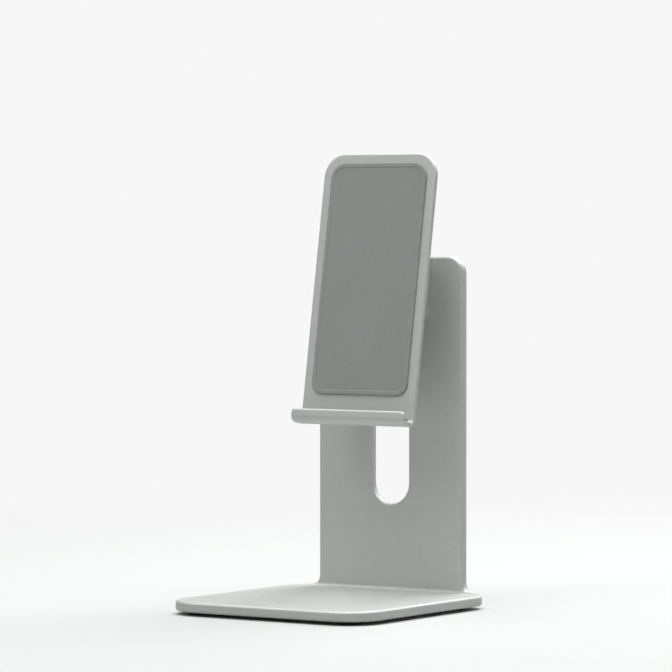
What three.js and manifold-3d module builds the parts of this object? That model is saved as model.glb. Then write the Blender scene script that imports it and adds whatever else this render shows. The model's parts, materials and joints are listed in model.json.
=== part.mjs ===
// A desktop tablet stand: a bent aluminium foot and column with a cable slot, and a
// J-shaped tablet panel that tilts on a friction hinge near the top of the column.
// Millimetres, +Z up, the panel faces -Y, and the origin is the middle of the footprint.
import * as THREE from "three";
import { mergeVertices } from "three/addons/utils/BufferGeometryUtils.js";
import Module from "manifold-3d";

const wasm = await Module();
wasm.setup();

// ---- driving dimensions ----
const FOOT_DEPTH = 140; // front edge of the base to the back of the column
const BASE_HALF = 68; // half the width of the base
const BASE_TOP = 8; // height of the base's upper face
const SHEET = 6; // thickness of the foot and column plate
const BEND_IN = 2; // inside radius of the bend between base and column
const BASE_CORNER = 22; // radius of the base's front corners
const COLUMN_HALF = 50; // half the width of the column
const COLUMN_TOP = 203;
const COLUMN_CORNER = 10;
const FLARE = 7; // radius of the concave flare where the column meets the base
const FLARE_START = -4.5; // where it starts, along the plate from the bend
const FLARE_TURN = THREE.MathUtils.degToRad(80); // how far round that flare goes
const SLOT_HALF = 12.75; // half the width of the cable slot
const SLOT_LOW = 58; // lowest point of the slot
const SLOT_HIGH = 138;

const PAD_FOOT_R = 8; // rubber feet under the base
const PAD_FOOT_RECESS = 1;
const PAD_FOOT_X = 50;
const PAD_FOOT_Y = [-54, 50];

const AXIS_AHEAD = 9; // tilt axis in front of the column's front face
const AXIS_Z = 196;
const TILT = THREE.MathUtils.degToRad(9.73); // how far the panel leans back at rest
const BARREL_R = 6.8;
const EAR_IN = 16; // inner and outer faces of the bracket's two ears
const EAR_OUT = 28;
const BORE_R = 3.1;
const SHAFT_R = 3;
const THREAD_R = 2.5;
const COUNTERBORE_R = 5.2;
const COUNTERBORE_FLOOR = 23;

const PANEL_HALF = 39; // half the width of the tablet panel and its ledge
const PANEL_SHEET = 3;
const PANEL_FRONT = 11; // panel's front face ahead of the tilt axis
const PANEL_TOP = 66; // along the panel from the tilt axis
const PANEL_BOTTOM = -93.9;
const PANEL_CORNER = 14;
const LIP_FRONT = 21.9;
const LIP_TOP = -85.9;
const LEDGE_BEND = 4.2; // outside radius of the ledge's two bends
const LIP_CORNER = 3;

const SCREW_R = 2; // M4 countersunk screws
const SCREW_HEAD_R = 3.9;
const SCREW_HEAD = 2.2;
const SOCKET_R = 1.4;
const BRACKET_SCREWS = { x: 20, z: [172, 184] };
const LEAF_SCREWS = { x: 21, z: [-29, -17] };
const GAP = 0.05; // between pieces that are glued or clamped together
const CLEAR = 0.2; // between pieces that turn against each other

const COLUMN_BACK = FOOT_DEPTH / 2;
const COLUMN_FRONT = COLUMN_BACK - SHEET;
const BASE_FRONT = -FOOT_DEPTH / 2;
const BASE_BOTTOM = BASE_TOP - SHEET;
const AXIS_Y = COLUMN_FRONT - AXIS_AHEAD;
const PANEL_BACK = PANEL_FRONT - PANEL_SHEET;

// ---- finishes ----
const finish = (color, roughness, metalness) => () =>
  new THREE.MeshStandardMaterial({ color, roughness, metalness });
const aluminium = finish(0xb9bcb9, 0.42, 0.9);
const castZinc = finish(0x9a9d9b, 0.5, 0.8);
const steel = finish(0x8b8d8f, 0.3, 1);
const springSteel = finish(0x5f6164, 0.35, 1);
const bronze = finish(0xa5824c, 0.4, 1);
const silicone = finish(0x8d908e, 0.85, 0);
const blackRubber = finish(0x1d1e20, 0.9, 0);
const greyPlastic = finish(0xa9acaa, 0.55, 0);

// ---- solids ----
function solid(geometry) {
  const bare = geometry.clone();
  bare.deleteAttribute("normal");
  bare.deleteAttribute("uv");
  const merged = mergeVertices(bare, 1e-4);
  const mesh = new wasm.Mesh({
    numProp: 3,
    vertProperties: new Float32Array(merged.attributes.position.array),
    triVerts: new Uint32Array(merged.index.array),
  });
  return new wasm.Manifold(mesh);
}

function piece(name, body, material) {
  const mesh = body.getMesh();
  const geometry = new THREE.BufferGeometry();
  const points = new THREE.BufferAttribute(mesh.vertProperties, 3);
  geometry.setAttribute("position", points);
  geometry.setIndex(new THREE.BufferAttribute(mesh.triVerts, 1));
  geometry.computeVertexNormals();
  const made = new THREE.Mesh(geometry, material());
  made.name = name;
  return made;
}

// A shape drawn in (X, Z) and pushed from y0 to y1.
function plateXZ(shape, y0, y1, curveSegments = 12) {
  const geometry = new THREE.ExtrudeGeometry(shape, {
    depth: y1 - y0,
    bevelEnabled: false,
    curveSegments,
  });
  geometry.rotateX(Math.PI / 2).translate(0, y1, 0);
  return solid(geometry);
}

// A shape drawn in (Y, Z) and pushed from x0 to x1.
function barYZ(shape, x0, x1, curveSegments = 12) {
  const geometry = new THREE.ExtrudeGeometry(shape, {
    depth: x1 - x0,
    bevelEnabled: false,
    curveSegments,
  });
  const turn = new THREE.Matrix4().makeBasis(
    new THREE.Vector3(0, 1, 0),
    new THREE.Vector3(0, 0, 1),
    new THREE.Vector3(1, 0, 0),
  );
  geometry.applyMatrix4(turn).translate(x0, 0, 0);
  return solid(geometry);
}

// A turned piece: profile points are [radius, distance along the axis].
function turned(profile, axis, segments = 32) {
  const points = profile.map(([radius, along]) => new THREE.Vector2(radius, along));
  const geometry = new THREE.LatheGeometry(points, segments);
  if (axis === "x") geometry.rotateZ(-Math.PI / 2);
  if (axis === "z") geometry.rotateX(Math.PI / 2);
  return solid(geometry);
}

function rod(radius, from, to, axis, segments = 32) {
  return turned([[0, from], [radius, from], [radius, to], [0, to]], axis, segments);
}

function ring(inner, outer, from, to, axis) {
  const profile = [[inner, from], [outer, from], [outer, to], [inner, to], [inner, from]];
  return turned(profile, axis, 32);
}

function roundedRect(halfWidth, low, high, lowCorner, highCorner) {
  const shape = new THREE.Shape();
  const quarter = Math.PI / 2;
  shape.moveTo(-halfWidth + lowCorner, low);
  shape.lineTo(halfWidth - lowCorner, low);
  shape.absarc(halfWidth - lowCorner, low + lowCorner, lowCorner, -quarter, 0);
  shape.lineTo(halfWidth, high - highCorner);
  shape.absarc(halfWidth - highCorner, high - highCorner, highCorner, 0, quarter);
  shape.lineTo(-halfWidth + highCorner, high);
  shape.absarc(-halfWidth + highCorner, high - highCorner, highCorner, quarter, 2 * quarter);
  shape.lineTo(-halfWidth, low + lowCorner);
  shape.absarc(-halfWidth + lowCorner, low + lowCorner, lowCorner, 2 * quarter, 3 * quarter);
  return shape;
}

// ---- foot and column: one plate, cut to its outline and bent once ----

// The cut outline as [distance along the plate from the bend, half width].
function plateOutline() {
  const bendLength = (Math.PI / 2) * (BEND_IN + SHEET / 2);
  const top = -(COLUMN_TOP - BASE_TOP - BEND_IN);
  const front = bendLength + COLUMN_FRONT - BEND_IN - BASE_FRONT;
  const outline = [];
  const arc = (count, from, to, at) => {
    for (let i = 0; i <= count; i += 1) outline.push(at(from + ((to - from) * i) / count));
  };
  const topCorner = (a) => [
    top + COLUMN_CORNER * (1 - Math.cos(a)),
    COLUMN_HALF - COLUMN_CORNER * (1 - Math.sin(a)),
  ];
  const flare = (a) => [
    FLARE_START + FLARE * Math.sin(a),
    COLUMN_HALF + FLARE * (1 - Math.cos(a)),
  ];
  const flareEnd = flare(FLARE_TURN);
  const shoulder = (BASE_HALF - flareEnd[1]) / (1 - Math.cos(FLARE_TURN));
  const shoulderAt = (a) => [
    flareEnd[0] + shoulder * (Math.sin(FLARE_TURN) - Math.sin(a)),
    BASE_HALF - shoulder * (1 - Math.cos(a)),
  ];
  const frontCorner = (a) => [
    front - BASE_CORNER * (1 - Math.sin(a)),
    BASE_HALF - BASE_CORNER * (1 - Math.cos(a)),
  ];
  arc(6, 0, Math.PI / 2, topCorner);
  arc(10, 0, FLARE_TURN, flare);
  arc(6, FLARE_TURN, 0, shoulderAt);
  arc(9, 0, Math.PI / 2, frontCorner);
  return { outline, bendLength };
}

// Half width at a distance along the plate, between the outline's points.
function halfWidthAt(outline, s) {
  const next = outline.findIndex(([at]) => at >= s);
  if (next <= 0) return outline[Math.max(next, 0)][1];
  const [s0, w0] = outline[next - 1];
  const [s1, w1] = outline[next];
  return s1 === s0 ? w1 : w0 + ((w1 - w0) * (s - s0)) / (s1 - s0);
}

function footPlate() {
  const { outline, bendLength } = plateOutline();
  const stations = outline.map(([s]) => s);
  const bendSteps = 12;
  for (let i = 0; i <= bendSteps; i += 1) stations.push((bendLength * i) / bendSteps);
  stations.sort((a, b) => a - b);
  const kept = stations.filter((s, i) => i === 0 || s - stations[i - 1] > 0.02);
  const widths = kept.map((s) => halfWidthAt(outline, s));
  widths[widths.length - 1] = outline.at(-1)[1];
  const sheet = new THREE.BoxGeometry(2, SHEET, 1, 1, 1, kept.length - 1);
  const points = sheet.attributes.position;
  const bendY = COLUMN_FRONT - BEND_IN;
  const bendZ = BASE_TOP + BEND_IN;
  const middle = BEND_IN + SHEET / 2;
  for (let i = 0; i < points.count; i += 1) {
    const row = Math.round((0.5 - points.getZ(i)) * (kept.length - 1));
    const s = kept[row];
    const radius = middle + points.getY(i);
    const x = points.getX(i) * widths[row];
    const turn = THREE.MathUtils.clamp(s / middle, 0, Math.PI / 2);
    const past = s - turn * middle;
    const y = bendY + radius * Math.cos(turn) - (s > 0 ? past : 0);
    const z = bendZ - radius * Math.sin(turn) - (s < 0 ? past : 0);
    points.setXYZ(i, x, y, z);
  }
  return solid(sheet);
}

function cableSlot() {
  const quarter = Math.PI / 2;
  const shape = new THREE.Shape();
  shape.absarc(0, SLOT_LOW + SLOT_HALF, SLOT_HALF, -2 * quarter, 0);
  shape.absarc(0, SLOT_HIGH - SLOT_HALF, SLOT_HALF, 0, 2 * quarter);
  return plateXZ(shape, COLUMN_FRONT - 1, COLUMN_BACK + 1, 14);
}

// A countersunk screw: head face at 0, pointing along +axis for the given length.
function screwBody(length, axis, play = 0) {
  const profile = [
    [0, 0],
    [SCREW_HEAD_R + play, 0],
    [SCREW_R + play, SCREW_HEAD + play],
    [SCREW_R + play, length],
    [0, length],
  ];
  return turned(profile, axis, 24);
}

function hexSocket(depth, axis) {
  return rod(SOCKET_R, -1, depth, axis, 6);
}

function footAndColumn() {
  let body = footPlate().subtract(cableSlot());
  for (const x of [-BRACKET_SCREWS.x, BRACKET_SCREWS.x])
    for (const z of BRACKET_SCREWS.z) {
      const hole = screwBody(SHEET + 2, "y", 0.15).mirror([0, 1, 0]);
      body = body.subtract(hole.translate([x, COLUMN_BACK + 0.001, z]));
    }
  for (const x of [-PAD_FOOT_X, PAD_FOOT_X])
    for (const y of PAD_FOOT_Y) {
      const pocket = rod(PAD_FOOT_R + 0.2, -1, PAD_FOOT_RECESS, "z");
      body = body.subtract(pocket.translate([x, y, BASE_BOTTOM]));
    }
  return piece("foot_and_column", body, aluminium);
}

function rubberFoot(name, x, y) {
  const top = BASE_BOTTOM + PAD_FOOT_RECESS - GAP;
  const profile = [[0, 0], [PAD_FOOT_R - 0.6, 0], [PAD_FOOT_R, 0.6], [PAD_FOOT_R, top], [0, top]];
  return piece(name, turned(profile, "z").translate([x, y, 0]), blackRubber);
}

// ---- fixed half of the hinge ----

function earProfile() {
  const shape = new THREE.Shape();
  const back = COLUMN_FRONT - GAP;
  shape.moveTo(back, AXIS_Z + BARREL_R);
  shape.lineTo(AXIS_Y, AXIS_Z + BARREL_R);
  shape.absarc(AXIS_Y, AXIS_Z, BARREL_R, Math.PI / 2, (3 * Math.PI) / 2);
  shape.lineTo(AXIS_Y + 3, AXIS_Z - BARREL_R);
  shape.lineTo(back, AXIS_Z - 12);
  return shape;
}

function hingeBracket() {
  const lowZ = 165;
  const foot = roundedRect(EAR_OUT, lowZ, AXIS_Z - BARREL_R - CLEAR, 5, 0.5);
  let body = plateXZ(foot, COLUMN_FRONT - 6, COLUMN_FRONT - GAP);
  for (const side of [-1, 1]) {
    const [x0, x1] = side < 0 ? [-EAR_OUT, -EAR_IN] : [EAR_IN, EAR_OUT];
    body = body.add(barYZ(earProfile(), x0, x1, 20));
  }
  const onAxis = (tool) => tool.translate([0, AXIS_Y, AXIS_Z]);
  body = body.subtract(onAxis(rod(BORE_R, -EAR_OUT - 1, EAR_OUT + 1, "x")));
  body = body.subtract(onAxis(rod(COUNTERBORE_R, COUNTERBORE_FLOOR, EAR_OUT + 1, "x")));
  body = body.subtract(onAxis(rod(COUNTERBORE_R, -EAR_OUT - 1, -COUNTERBORE_FLOOR, "x")));
  for (const x of [-BRACKET_SCREWS.x, BRACKET_SCREWS.x])
    for (const z of BRACKET_SCREWS.z) {
      const hole = rod(SCREW_R + 0.05, COLUMN_FRONT - 5, COLUMN_FRONT + 1, "y", 24);
      body = body.subtract(hole.translate([x, 0, z]));
    }
  return piece("hinge_bracket", body, castZinc);
}

function bracketScrew(name, x, z) {
  const body = screwBody(10, "y").subtract(hexSocket(1.4, "y"));
  const placed = body.mirror([0, 1, 0]).translate([x, COLUMN_BACK - 0.1, z]);
  return piece(name, placed, steel);
}

function hingeShaft() {
  const headFace = -COUNTERBORE_FLOOR - 3;
  const profile = [
    [0, headFace],
    [3.8, headFace],
    [4.6, headFace + 0.8],
    [4.6, -COUNTERBORE_FLOOR - GAP],
    [SHAFT_R, -COUNTERBORE_FLOOR - GAP],
    [SHAFT_R, COUNTERBORE_FLOOR - 0.5],
    [THREAD_R, COUNTERBORE_FLOOR],
    [THREAD_R, EAR_OUT - 0.8],
    [0, EAR_OUT - 0.8],
  ];
  const socket = rod(2, headFace - 1, headFace + 1.8, "x", 6);
  const body = turned(profile, "x").subtract(socket);
  return piece("hinge_shaft", body.translate([0, AXIS_Y, AXIS_Z]), steel);
}

function frictionWasher(name, side) {
  const inner = EAR_IN - 0.8;
  const outer = EAR_IN - GAP;
  const body = ring(BORE_R, BARREL_R - 0.6, inner, outer, "x");
  const turnedRound = side < 0 ? body.mirror([1, 0, 0]) : body;
  return piece(name, turnedRound.translate([0, AXIS_Y, AXIS_Z]), bronze);
}

// Two cupped washers face to face, each a thin cone.
function springWasher(name, from, rise) {
  const thick = 0.5;
  const [low, high] = [THREAD_R + 0.15, 4.7];
  const inner = rise > 0 ? 0 : -rise;
  const outer = rise > 0 ? rise : 0;
  const profile = [
    [low, from + inner],
    [high, from + outer],
    [high, from + outer + thick],
    [low, from + inner + thick],
    [low, from + inner],
  ];
  return piece(name, turned(profile, "x").translate([0, AXIS_Y, AXIS_Z]), springSteel);
}

function hingeNut() {
  const from = COUNTERBORE_FLOOR + 2;
  const body = rod(4.6, from, from + 2.3, "x", 6).subtract(rod(THREAD_R + 0.1, from - 1, from + 4, "x"));
  return piece("hinge_nut", body.translate([0, AXIS_Y, AXIS_Z]), steel);
}

function hingeCap(name, side) {
  const rim = EAR_OUT - 0.5;
  const profile = [
    [0, rim],
    [COUNTERBORE_R - 0.1, rim],
    [COUNTERBORE_R - 0.1, EAR_OUT + 0.1],
    [COUNTERBORE_R - 0.6, EAR_OUT + 0.6],
    [0, EAR_OUT + 0.9],
  ];
  const body = turned(profile, "x");
  const placed = side < 0 ? body.mirror([1, 0, 0]) : body;
  return piece(name, placed.translate([0, AXIS_Y, AXIS_Z]), greyPlastic);
}

// ---- tilting half, drawn about the tilt axis: +Z runs up the panel, -Y is its front ----

function hingeKnuckle() {
  const half = EAR_IN - 0.8 - CLEAR;
  const front = -PANEL_BACK + GAP;
  const back = front + 2.4;
  const wideTop = -10.5;
  const wideLow = -35;
  const neck = new THREE.Shape();
  neck.moveTo(front, BARREL_R);
  neck.lineTo(0, BARREL_R);
  neck.absarc(0, 0, BARREL_R, Math.PI / 2, -Math.PI / 4, true);
  neck.lineTo(back, wideTop - 3);
  neck.lineTo(front, wideTop - 3);
  const wide = roundedRect(29, wideLow, wideTop, 5, 2);
  let body = barYZ(neck, -half, half, 24).add(plateXZ(wide, front, back));
  body = body.subtract(rod(BORE_R + 0.1, -half - 1, half + 1, "x"));
  for (const x of [-LEAF_SCREWS.x, LEAF_SCREWS.x])
    for (const z of LEAF_SCREWS.z) {
      const hole = rod(SCREW_R + 0.05, front - 1, back + 1, "y", 24);
      body = body.subtract(hole.translate([x, 0, z]));
    }
  return piece("hinge_knuckle", body, castZinc);
}

function panelProfile() {
  const shape = new THREE.Shape();
  const out = LEDGE_BEND;
  const inn = LEDGE_BEND - PANEL_SHEET;
  const low = PANEL_BOTTOM;
  const quarter = Math.PI / 2;
  const nose = PANEL_SHEET / 2;
  shape.moveTo(-PANEL_BACK, PANEL_TOP);
  shape.lineTo(-PANEL_FRONT, PANEL_TOP);
  shape.lineTo(-PANEL_FRONT, low + out);
  shape.absarc(-PANEL_FRONT - inn, low + out, inn, 0, -quarter, true);
  shape.lineTo(-LIP_FRONT + out, low + PANEL_SHEET);
  shape.absarc(-LIP_FRONT + out, low + out, inn, -quarter, -2 * quarter, true);
  shape.lineTo(-LIP_FRONT + PANEL_SHEET, LIP_TOP - nose);
  shape.absarc(-LIP_FRONT + nose, LIP_TOP - nose, nose, 0, 2 * quarter);
  shape.lineTo(-LIP_FRONT, low + out);
  shape.absarc(-LIP_FRONT + out, low + out, out, 2 * quarter, 3 * quarter);
  shape.lineTo(-PANEL_BACK - out, low);
  shape.absarc(-PANEL_BACK - out, low + out, out, 3 * quarter, 4 * quarter);
  return shape;
}

function tabletPanel() {
  const face = roundedRect(PANEL_HALF, PANEL_BOTTOM - 0.5, PANEL_TOP, LIP_CORNER, PANEL_CORNER);
  let body = barYZ(panelProfile(), -PANEL_HALF, PANEL_HALF, 8);
  body = body.intersect(plateXZ(face, -LIP_FRONT - 1, -PANEL_BACK + 1, 8));
  for (const x of [-LEAF_SCREWS.x, LEAF_SCREWS.x])
    for (const z of LEAF_SCREWS.z) {
      const hole = screwBody(PANEL_SHEET + 2, "y", 0.15);
      body = body.subtract(hole.translate([x, -PANEL_FRONT - 0.001, z]));
    }
  return piece("tablet_panel", body, aluminium);
}

function leafScrew(name, x, z) {
  const body = screwBody(5, "y").subtract(hexSocket(1.4, "y"));
  return piece(name, body.translate([x, -PANEL_FRONT + 0.1, z]), steel);
}

function panelPad() {
  const shape = roundedRect(33, -76, 60, 7, 9);
  return piece("panel_pad", plateXZ(shape, -PANEL_FRONT - 1.2, -PANEL_FRONT - GAP, 6), silicone);
}

function ledgePad() {
  const half = PANEL_HALF - 3;
  const floor = PANEL_BOTTOM + PANEL_SHEET + GAP;
  const back = -PANEL_FRONT - 1.4;
  const lip = -LIP_FRONT + PANEL_SHEET + GAP;
  const shape = new THREE.Shape();
  shape.moveTo(back, floor);
  shape.lineTo(back, floor + 1.4);
  shape.lineTo(lip + 0.6, floor + 1.4);
  shape.lineTo(lip + 0.6, LIP_TOP - 1.6);
  shape.lineTo(lip, LIP_TOP - 1.6);
  shape.lineTo(lip, floor + LEDGE_BEND - PANEL_SHEET);
  shape.lineTo(lip + LEDGE_BEND - PANEL_SHEET, floor);
  return piece("ledge_pad", barYZ(shape, -half, half), silicone);
}

// ---- assembly ----
const stand = new THREE.Group();
stand.add(footAndColumn());
const sides = [["left", -1], ["right", 1]];
const ends = [["front", 0], ["rear", 1]];
const rows = [["lower", 0], ["upper", 1]];
for (const [sideName, side] of sides) {
  for (const [endName, end] of ends)
    stand.add(rubberFoot(`foot_pad_${endName}_${sideName}`, side * PAD_FOOT_X, PAD_FOOT_Y[end]));
  for (const [rowName, row] of rows) {
    const name = `bracket_screw_${rowName}_${sideName}`;
    stand.add(bracketScrew(name, side * BRACKET_SCREWS.x, BRACKET_SCREWS.z[row]));
  }
  stand.add(frictionWasher(`friction_washer_${sideName}`, side));
  stand.add(hingeCap(`hinge_cap_${sideName}`, side));
}
stand.add(hingeBracket());
stand.add(hingeShaft());
stand.add(springWasher("spring_washer_inner", COUNTERBORE_FLOOR + GAP, 0.35));
stand.add(springWasher("spring_washer_outer", COUNTERBORE_FLOOR + 1.0, -0.35));
stand.add(hingeNut());

const head = new THREE.Group();
head.position.set(0, AXIS_Y, AXIS_Z);
head.rotation.x = -TILT;
head.add(hingeKnuckle());
head.add(tabletPanel());
head.add(panelPad());
head.add(ledgePad());
for (const [sideName, side] of sides)
  for (const [rowName, row] of rows) {
    const name = `panel_screw_${rowName}_${sideName}`;
    head.add(leafScrew(name, side * LEAF_SCREWS.x, LEAF_SCREWS.z[row]));
  }
stand.add(head);

export default stand;
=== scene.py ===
import json
import math

import bmesh
import bpy
from mathutils import Matrix, Vector


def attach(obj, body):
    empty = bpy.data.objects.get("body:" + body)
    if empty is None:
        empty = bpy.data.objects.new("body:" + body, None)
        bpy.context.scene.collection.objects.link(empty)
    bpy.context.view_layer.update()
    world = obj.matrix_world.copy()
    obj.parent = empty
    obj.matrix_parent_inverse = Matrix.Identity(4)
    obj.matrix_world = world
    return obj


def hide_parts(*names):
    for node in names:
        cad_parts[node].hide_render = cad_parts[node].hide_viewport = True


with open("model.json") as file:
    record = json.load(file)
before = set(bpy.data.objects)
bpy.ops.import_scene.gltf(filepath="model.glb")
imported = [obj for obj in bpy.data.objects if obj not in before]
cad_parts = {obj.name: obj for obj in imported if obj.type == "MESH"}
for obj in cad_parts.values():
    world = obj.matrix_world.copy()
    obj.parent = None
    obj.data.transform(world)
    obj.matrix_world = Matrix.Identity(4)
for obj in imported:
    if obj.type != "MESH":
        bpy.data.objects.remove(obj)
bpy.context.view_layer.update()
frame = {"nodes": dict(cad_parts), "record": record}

MM = 0.001
QUARTER = math.pi / 2

# ---- what the frame says, in millimetres ----

RECORD = frame["record"]
BASE_COLOUR = {m["slot"]: m["base_color"][:3] for m in RECORD["materials"]}
SLOT_OF = {s["node"]: s["material_slot"] for s in RECORD["subparts"]}
BODY_OF = {n: b for b, nodes in RECORD["behaviour"]["bodies"].items() for n in nodes}
AXIS = Vector(RECORD["behaviour"]["joints"][0]["pos_m"]) / MM
PAD_FACE = next(m for m in RECORD["mounts"] if m["name"] == "panel_pad_face")
TILT = math.atan2(PAD_FACE["axis"][2], -PAD_FACE["axis"][1])

# Where drawings are put: STAND is the stand's own frame, HEAD has its origin on the tilt axis
# with +Z up the panel, and AT_AXIS is HEAD before it leans back.
STAND = Matrix.Identity(4)
AT_AXIS = Matrix.Translation(AXIS)
HEAD = AT_AXIS @ Matrix.Rotation(-TILT, 4, "X")


def box_in(place, *nodes):
    """The lowest and highest corner of some nodes, in millimetres, in the frame of a place."""
    back = place.inverted()
    points = [back @ (v.co / MM) for n in nodes for v in frame["nodes"][n].data.vertices]
    low = Vector(min(p[i] for p in points) for i in range(3))
    high = Vector(max(p[i] for p in points) for i in range(3))
    return low, high


# ---- sizes, in millimetres ----

SHEET = 6  # foot and column plate
BEND_IN = 2
COLUMN_HALF = 50
COLUMN_CORNER = 10
FLARE, FLARE_START, FLARE_TURN = 7, -4.5, math.radians(80)
BASE_CORNER = 22
SLOT_HALF, SLOT_LOW, SLOT_HIGH = 12.75, 58, 138
FOOT_LOW, FOOT_HIGH = box_in(STAND, "foot_and_column")
COLUMN_FACE = FOOT_HIGH.y - SHEET
BASE_TOP = FOOT_LOW.z + SHEET

PANEL_SHEET = 3
PANEL_CORNER = 14
LIP_CORNER = 2.5
LIP_HEIGHT = 8
LEDGE_BEND = 4.2  # outside radius of the ledge's two bends
PANEL_LOW, PANEL_HIGH = box_in(HEAD, "tablet_panel")

SCREW_HEAD_R, SCREW_R, SCREW_HEAD = 3.9, 2, 2.2
THREAD_PITCH = 0.7
COUNTERSINK_R, EDGE_BREAK = 4.05, 0.15

# ---- how finely shapes are made ----

CLOSE = 1e-3  # points nearer than this are one point, or lie in one plane
HOLE_SIDES, TURNED_SIDES = 32, 48
SHARP = math.radians(32)  # an edge that turns further is shaded as a sharp one

# ---- drawing and shaping ----


class Outline:
    """A line in the plane z = 0, drawn by pulling one vertex along straight runs and round turns."""

    def __init__(self, x, y):
        self.bm = bmesh.new()
        self.tip = self.bm.verts.new((x, y, 0))

    def to(self, x, y):
        pulled = bmesh.ops.extrude_vert_indiv(self.bm, verts=[self.tip])["verts"]
        self.tip = pulled[0]
        self.tip.co = (x, y, 0)
        return self

    def by(self, dx, dy):
        return self.to(self.tip.co.x + dx, self.tip.co.y + dy)

    def turn(self, x, y, angle, steps=8):
        """Turns the tip about (x, y), anticlockwise for a positive angle."""
        spun = bmesh.ops.spin(
            self.bm,
            geom=[self.tip],
            cent=(x, y, 0),
            axis=(0, 0, 1),
            angle=angle,
            steps=steps,
            use_merge=False,
            use_duplicate=False,
        )
        self.tip = next(g for g in spun["geom_last"] if isinstance(g, bmesh.types.BMVert))
        return self

    def face(self):
        """Fills the closed line with one face, looking towards +z."""
        bmesh.ops.remove_doubles(self.bm, verts=self.bm.verts[:], dist=CLOSE)
        made = bmesh.ops.contextual_create(self.bm, geom=self.bm.edges[:])["faces"][0]
        made.normal_update()
        if made.normal.z < 0:
            made.normal_flip()
        return self.bm

    def turned(self):
        """Spins the line once round the y axis."""
        bm = self.bm
        bmesh.ops.remove_doubles(bm, verts=bm.verts[:], dist=CLOSE)
        bmesh.ops.spin(
            bm,
            geom=bm.verts[:] + bm.edges[:],
            cent=(0, 0, 0),
            axis=(0, 1, 0),
            angle=2 * math.pi,
            steps=TURNED_SIDES,
            use_merge=True,
            use_duplicate=False,
        )
        bmesh.ops.remove_doubles(bm, verts=bm.verts[:], dist=CLOSE)
        bmesh.ops.recalc_face_normals(bm, faces=bm.faces[:])
        return bm


def rounded_rect(x0, x1, y0, y1, corner, top, steps):
    """A face with one corner radius below and another, top, above."""
    line = Outline(x0 + corner, y0).to(x1 - corner, y0)
    line.turn(x1 - corner, y0 + corner, QUARTER, steps).to(x1, y1 - top)
    line.turn(x1 - top, y1 - top, QUARTER, steps).to(x0 + top, y1)
    line.turn(x0 + top, y1 - top, QUARTER, steps).to(x0, y0 + corner)
    line.turn(x0 + corner, y0 + corner, QUARTER, steps)
    return line.face()


def thicken(bm, low, high):
    """Makes the drawing's faces a slab from z = low to z = high."""
    bmesh.ops.translate(bm, verts=bm.verts[:], vec=(0, 0, low))
    pulled = bmesh.ops.extrude_face_region(bm, geom=bm.faces[:])["geom"]
    top = [g for g in pulled if isinstance(g, bmesh.types.BMVert)]
    bmesh.ops.translate(bm, verts=top, vec=(0, 0, high - low))
    bmesh.ops.recalc_face_normals(bm, faces=bm.faces[:])
    return bm


def sharp_edges(bm, where=lambda middle: True, angle=40):
    """The edges that turn by more than an angle in degrees, and whose middle is where it says."""
    limit = math.radians(angle)
    return [
        e
        for e in bm.edges
        if len(e.link_faces) == 2
        and e.calc_face_angle(0) > limit
        and where((e.verts[0].co + e.verts[1].co) / 2)
    ]


def round_off(bm, edges, radius, segments):
    """Rounds edges and marks the new faces, so that a finish can wear there."""
    rounded = bm.faces.layers.float.get("rounded") or bm.faces.layers.float.new("rounded")
    made = bmesh.ops.bevel(
        bm,
        geom=edges,
        offset=radius,
        offset_type="OFFSET",
        segments=segments,
        profile=0.5,
        affect="EDGES",
        material=-1,
        clamp_overlap=True,
        loop_slide=True,
    )
    for face in made["faces"]:
        face[rounded] = 1
    return bm


def cut_across(bm, axis, values):
    """Cuts faces along planes square to an axis, where they will bend or be bored."""
    for value in values:
        point, normal = Vector(), Vector()
        point[axis], normal[axis] = value, 1
        everything = bm.verts[:] + bm.edges[:] + bm.faces[:]
        bmesh.ops.bisect_plane(bm, geom=everything, dist=1e-5, plane_co=point, plane_no=normal)


def open_seam(bm):
    """Takes off the faces in the plane x = 0, so that two halves can be joined there."""
    seam = [f for f in bm.faces if all(abs(v.co.x) < CLOSE for v in f.verts)]
    bmesh.ops.delete(bm, geom=seam, context="FACES")


def mirrored(bm):
    """Adds the other half of a piece drawn from x = 0 outwards."""
    for v in bm.verts:
        if abs(v.co.x) < CLOSE:
            v.co.x = 0
    everything = bm.verts[:] + bm.edges[:] + bm.faces[:]
    bmesh.ops.mirror(bm, geom=everything, axis="X", merge_dist=CLOSE)
    bmesh.ops.remove_doubles(bm, verts=bm.verts[:], dist=1e-4)
    bmesh.ops.recalc_face_normals(bm, faces=bm.faces[:])
    return bm


def folded(bm, y, z, bends):
    """Folds a flat sheet, drawn with y along it, that hangs from (y, z). Each bend is a quarter
    turn towards the front: (where it starts along the sheet, radius of the sheet's middle)."""
    for v in bm.verts:
        along, out = v.co.y, v.co.z
        point, heading, done = Vector((y, z)), 0, 0
        for start, radius in bends:
            if along <= start:
                break
            point += Vector((-math.sin(heading), -math.cos(heading))) * (start - done)
            turned = min((along - start) / radius, QUARTER)
            centre = point - Vector((math.cos(heading), -math.sin(heading))) * radius
            heading += turned
            point = centre + Vector((math.cos(heading), -math.sin(heading))) * radius
            done = start + turned * radius
        point += Vector((-math.sin(heading), -math.cos(heading))) * (along - done)
        point += Vector((math.cos(heading), -math.sin(heading))) * out
        v.co.y, v.co.z = point
    return bm


def join_flat(bm, outer, inner):
    """Joins two rings of edges that lie in one plane; while they are joined the inner one stands
    out of it, which tells the join which way round they run."""
    verts = list(dict.fromkeys(v for e in inner for v in e.verts))
    middle = sum((v.co for v in verts), Vector()) / len(verts)
    normals = [(verts[0].co - middle).cross(v.co - middle) for v in verts]
    off = max(normals, key=lambda normal: normal.length).normalized() * 2
    bmesh.ops.translate(bm, verts=verts, vec=off)
    bmesh.ops.bridge_loops(bm, edges=outer + inner)
    bmesh.ops.translate(bm, verts=verts, vec=-off)


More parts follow.
